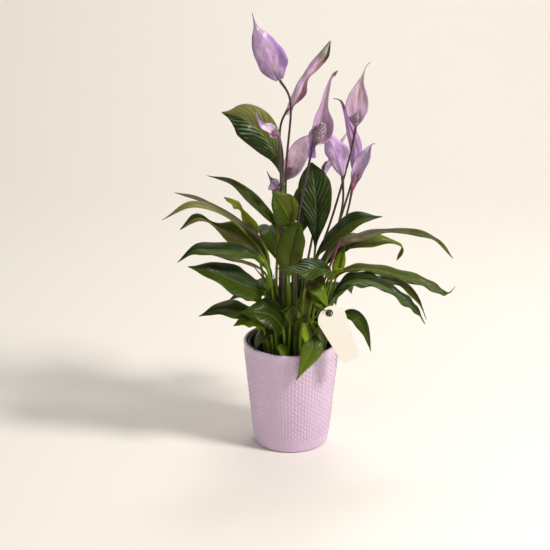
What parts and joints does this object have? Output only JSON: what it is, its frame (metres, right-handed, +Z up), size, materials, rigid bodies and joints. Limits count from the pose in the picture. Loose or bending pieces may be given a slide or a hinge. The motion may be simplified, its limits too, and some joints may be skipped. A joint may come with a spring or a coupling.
{
  "type": "potted peace lily",
  "caption": "Flowering peace lily with violet hooded flowers and arching leaves, growing in soil in a plastic pot that stands inside a studded glazed pot, with a card tag.",
  "frame": {"origin": "centre of the glazed pot's flat base", "axes": "+Z up along the pot's axis, the front of the plant with the tag towards -Y, +X to the plant's right as seen from the front"},
  "size_m": [0.4003, 0.228, 0.6192],
  "materials": {
    "glaze": "satin lilac glaze",
    "nursery_plastic": "dark moulded plastic",
    "soil": "dark peat potting soil, loose and matt",
    "card": "uncoated ivory card",
    "tie": "dark green waxed cord",
    "leaf": "living leaf, waxy and veined",
    "flower_stem": "living stalk, smooth and dark maroon",
    "spathe": "living bract, violet, thin and finely veined"
  },
  "bodies": {
    "root": {"pot": "glaze", "nursery_pot": "nursery_plastic", "potting_soil": "soil", "gift_tag": "card", "tag_tie": "tie", "flower_stem_01": "flower_stem", "flower_stem_02": "flower_stem", "flower_stem_03": "flower_stem", "flower_stem_04": "flower_stem", "flower_stem_05": "flower_stem", "flower_stem_06": "flower_stem", "flower_stem_07": "flower_stem", "flower_stem_08": "flower_stem", "flower_stem_09": "flower_stem", "flower_stem_10": "flower_stem", "flower_stem_11": "flower_stem", "spathe_01": "spathe", "spathe_02": "spathe", "spathe_03": "spathe", "spathe_04": "spathe", "spathe_05": "spathe", "spathe_06": "spathe", "spathe_07": "spathe", "spathe_08": "spathe", "spathe_09": "spathe", "spathe_10": "spathe", "spathe_11": "spathe", "leaf_01": "leaf", "leaf_02": "leaf", "leaf_03": "leaf", "leaf_04": "leaf", "leaf_05": "leaf", "leaf_06": "leaf", "leaf_07": "leaf", "leaf_08": "leaf", "leaf_09": "leaf", "leaf_10": "leaf", "leaf_11": "leaf", "leaf_12": "leaf", "leaf_13": "leaf", "leaf_14": "leaf", "leaf_15": "leaf", "leaf_16": "leaf", "leaf_17": "leaf", "leaf_18": "leaf", "leaf_19": "leaf", "leaf_20": "leaf", "leaf_21": "leaf", "leaf_22": "leaf", "leaf_23": "leaf", "leaf_24": "leaf", "leaf_25": "leaf", "leaf_26": "leaf", "leaf_27": "leaf", "leaf_28": "leaf", "leaf_29": "leaf", "leaf_30": "leaf", "leaf_31": "leaf", "leaf_32": "leaf", "leaf_33": "leaf"}
  },
  "joints": []
}
